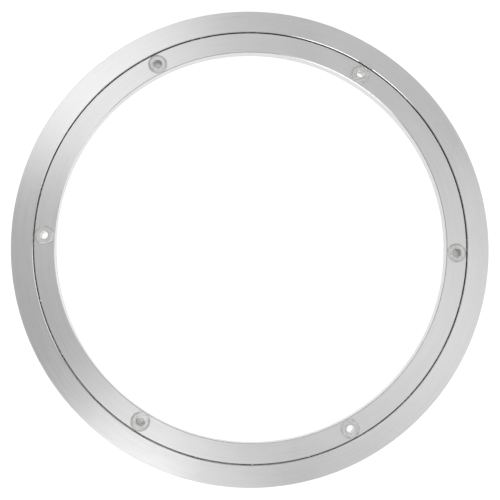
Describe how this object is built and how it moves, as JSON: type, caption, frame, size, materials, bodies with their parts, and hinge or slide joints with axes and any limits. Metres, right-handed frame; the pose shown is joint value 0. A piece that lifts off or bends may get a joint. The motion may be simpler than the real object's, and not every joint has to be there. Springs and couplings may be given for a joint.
{
  "type": "lazy susan bearing",
  "caption": "Flat turntable bearing of two flush satin aluminium rings on caged steel balls, with clear soft pads above and feet below.",
  "frame": {"origin": "on the turning axis, at the level that the feet stand on", "axes": "+Z along the turning axis, out of the face that carries the pads; +X 2.2 degrees past the first pad"},
  "size_m": [0.3, 0.3, 0.0135],
  "materials": {
    "rings": "satin anodised, fine circular turning grain",
    "plug": "turned",
    "balls": "polished steel",
    "cage": "natural moulded nylon",
    "pads": "clear soft silicone"
  },
  "bodies": {
    "outer": {"outer_ring": "rings", "fill_plug": "plug", "foot_1": "pads", "foot_2": "pads", "foot_3": "pads", "foot_4": "pads", "foot_5": "pads", "foot_6": "pads"},
    "inner": {"inner_ring": "rings", "pad_1": "pads", "pad_2": "pads", "pad_3": "pads", "pad_4": "pads", "pad_5": "pads", "pad_6": "pads"},
    "cage": {"ball_cage": "cage"},
    "ball_01": {"ball_01": "balls"},
    "ball_02": {"ball_02": "balls"},
    "ball_03": {"ball_03": "balls"},
    "ball_04": {"ball_04": "balls"},
    "ball_05": {"ball_05": "balls"},
    "ball_06": {"ball_06": "balls"},
    "ball_07": {"ball_07": "balls"},
    "ball_08": {"ball_08": "balls"},
    "ball_09": {"ball_09": "balls"},
    "ball_10": {"ball_10": "balls"},
    "ball_11": {"ball_11": "balls"},
    "ball_12": {"ball_12": "balls"},
    "ball_13": {"ball_13": "balls"},
    "ball_14": {"ball_14": "balls"},
    "ball_15": {"ball_15": "balls"},
    "ball_16": {"ball_16": "balls"},
    "ball_17": {"ball_17": "balls"},
    "ball_18": {"ball_18": "balls"},
    "ball_19": {"ball_19": "balls"},
    "ball_20": {"ball_20": "balls"},
    "ball_21": {"ball_21": "balls"},
    "ball_22": {"ball_22": "balls"},
    "ball_23": {"ball_23": "balls"},
    "ball_24": {"ball_24": "balls"}
  },
  "joints": [
    {"name": "ring_turn", "type": "hinge", "parent": "outer", "child": "inner", "pos_m": [0, 0, 0.0069], "axis": [0, 0, 1], "continuous": true},
    {"name": "cage_turn", "type": "hinge", "parent": "outer", "child": "cage", "pos_m": [0, 0, 0.0069], "axis": [0, 0, 1], "continuous": true},
    {"name": "ball_01_roll", "type": "hinge", "parent": "cage", "child": "ball_01", "pos_m": [0.13605, 0, 0.0069], "axis": [0.7071, 0, 0.7071], "continuous": true},
    {"name": "ball_02_roll", "type": "hinge", "parent": "cage", "child": "ball_02", "pos_m": [0.13141, 0.03521, 0.0069], "axis": [0.683, 0.183, 0.7071], "continuous": true},
    {"name": "ball_03_roll", "type": "hinge", "parent": "cage", "child": "ball_03", "pos_m": [0.11782, 0.06803, 0.0069], "axis": [0.6124, 0.3536, 0.7071], "continuous": true},
    {"name": "ball_04_roll", "type": "hinge", "parent": "cage", "child": "ball_04", "pos_m": [0.0962, 0.0962, 0.0069], "axis": [0.5, 0.5, 0.7071], "continuous": true},
    {"name": "ball_05_roll", "type": "hinge", "parent": "cage", "child": "ball_05", "pos_m": [0.06803, 0.11782, 0.0069], "axis": [0.3536, 0.6124, 0.7071], "continuous": true},
    {"name": "ball_06_roll", "type": "hinge", "parent": "cage", "child": "ball_06", "pos_m": [0.03521, 0.13141, 0.0069], "axis": [0.183, 0.683, 0.7071], "continuous": true},
    {"name": "ball_07_roll", "type": "hinge", "parent": "cage", "child": "ball_07", "pos_m": [0, 0.13605, 0.0069], "axis": [0, 0.7071, 0.7071], "continuous": true},
    {"name": "ball_08_roll", "type": "hinge", "parent": "cage", "child": "ball_08", "pos_m": [-0.03521, 0.13141, 0.0069], "axis": [-0.183, 0.683, 0.7071], "continuous": true},
    {"name": "ball_09_roll", "type": "hinge", "parent": "cage", "child": "ball_09", "pos_m": [-0.06803, 0.11782, 0.0069], "axis": [-0.3536, 0.6124, 0.7071], "continuous": true},
    {"name": "ball_10_roll", "type": "hinge", "parent": "cage", "child": "ball_10", "pos_m": [-0.0962, 0.0962, 0.0069], "axis": [-0.5, 0.5, 0.7071], "continuous": true},
    {"name": "ball_11_roll", "type": "hinge", "parent": "cage", "child": "ball_11", "pos_m": [-0.11782, 0.06803, 0.0069], "axis": [-0.6124, 0.3536, 0.7071], "continuous": true},
    {"name": "ball_12_roll", "type": "hinge", "parent": "cage", "child": "ball_12", "pos_m": [-0.13141, 0.03521, 0.0069], "axis": [-0.683, 0.183, 0.7071], "continuous": true},
    {"name": "ball_13_roll", "type": "hinge", "parent": "cage", "child": "ball_13", "pos_m": [-0.13605, 0, 0.0069], "axis": [-0.7071, 0, 0.7071], "continuous": true},
    {"name": "ball_14_roll", "type": "hinge", "parent": "cage", "child": "ball_14", "pos_m": [-0.13141, -0.03521, 0.0069], "axis": [-0.683, -0.183, 0.7071], "continuous": true},
    {"name": "ball_15_roll", "type": "hinge", "parent": "cage", "child": "ball_15", "pos_m": [-0.11782, -0.06803, 0.0069], "axis": [-0.6124, -0.3536, 0.7071], "continuous": true},
    {"name": "ball_16_roll", "type": "hinge", "parent": "cage", "child": "ball_16", "pos_m": [-0.0962, -0.0962, 0.0069], "axis": [-0.5, -0.5, 0.7071], "continuous": true},
    {"name": "ball_17_roll", "type": "hinge", "parent": "cage", "child": "ball_17", "pos_m": [-0.06803, -0.11782, 0.0069], "axis": [-0.3536, -0.6124, 0.7071], "continuous": true},
    {"name": "ball_18_roll", "type": "hinge", "parent": "cage", "child": "ball_18", "pos_m": [-0.03521, -0.13141, 0.0069], "axis": [-0.183, -0.683, 0.7071], "continuous": true},
    {"name": "ball_19_roll", "type": "hinge", "parent": "cage", "child": "ball_19", "pos_m": [0, -0.13605, 0.0069], "axis": [0, -0.7071, 0.7071], "continuous": true},
    {"name": "ball_20_roll", "type": "hinge", "parent": "cage", "child": "ball_20", "pos_m": [0.03521, -0.13141, 0.0069], "axis": [0.183, -0.683, 0.7071], "continuous": true},
    {"name": "ball_21_roll", "type": "hinge", "parent": "cage", "child": "ball_21", "pos_m": [0.06803, -0.11782, 0.0069], "axis": [0.3536, -0.6124, 0.7071], "continuous": true},
    {"name": "ball_22_roll", "type": "hinge", "parent": "cage", "child": "ball_22", "pos_m": [0.0962, -0.0962, 0.0069], "axis": [0.5, -0.5, 0.7071], "continuous": true},
    {"name": "ball_23_roll", "type": "hinge", "parent": "cage", "child": "ball_23", "pos_m": [0.11782, -0.06803, 0.0069], "axis": [0.6124, -0.3536, 0.7071], "continuous": true},
    {"name": "ball_24_roll", "type": "hinge", "parent": "cage", "child": "ball_24", "pos_m": [0.13141, -0.03521, 0.0069], "axis": [0.683, -0.183, 0.7071], "continuous": true}
  ],
  "couplings": [
    {"joint": "cage_turn", "follows": "ring_turn", "ratio": 0.49382},
    {"joint": "ball_01_roll", "follows": "ring_turn", "ratio": -28.578},
    {"joint": "ball_02_roll", "follows": "ring_turn", "ratio": -28.578},
    {"joint": "ball_03_roll", "follows": "ring_turn", "ratio": -28.578},
    {"joint": "ball_04_roll", "follows": "ring_turn", "ratio": -28.578},
    {"joint": "ball_05_roll", "follows": "ring_turn", "ratio": -28.578},
    {"joint": "ball_06_roll", "follows": "ring_turn", "ratio": -28.578},
    {"joint": "ball_07_roll", "follows": "ring_turn", "ratio": -28.578},
    {"joint": "ball_08_roll", "follows": "ring_turn", "ratio": -28.578},
    {"joint": "ball_09_roll", "follows": "ring_turn", "ratio": -28.578},
    {"joint": "ball_10_roll", "follows": "ring_turn", "ratio": -28.578},
    {"joint": "ball_11_roll", "follows": "ring_turn", "ratio": -28.578},
    {"joint": "ball_12_roll", "follows": "ring_turn", "ratio": -28.578},
    {"joint": "ball_13_roll", "follows": "ring_turn", "ratio": -28.578},
    {"joint": "ball_14_roll", "follows": "ring_turn", "ratio": -28.578},
    {"joint": "ball_15_roll", "follows": "ring_turn", "ratio": -28.578},
    {"joint": "ball_16_roll", "follows": "ring_turn", "ratio": -28.578},
    {"joint": "ball_17_roll", "follows": "ring_turn", "ratio": -28.578},
    {"joint": "ball_18_roll", "follows": "ring_turn", "ratio": -28.578},
    {"joint": "ball_19_roll", "follows": "ring_turn", "ratio": -28.578},
    {"joint": "ball_20_roll", "follows": "ring_turn", "ratio": -28.578},
    {"joint": "ball_21_roll", "follows": "ring_turn", "ratio": -28.578},
    {"joint": "ball_22_roll", "follows": "ring_turn", "ratio": -28.578},
    {"joint": "ball_23_roll", "follows": "ring_turn", "ratio": -28.578},
    {"joint": "ball_24_roll", "follows": "ring_turn", "ratio": -28.578}
  ]
}
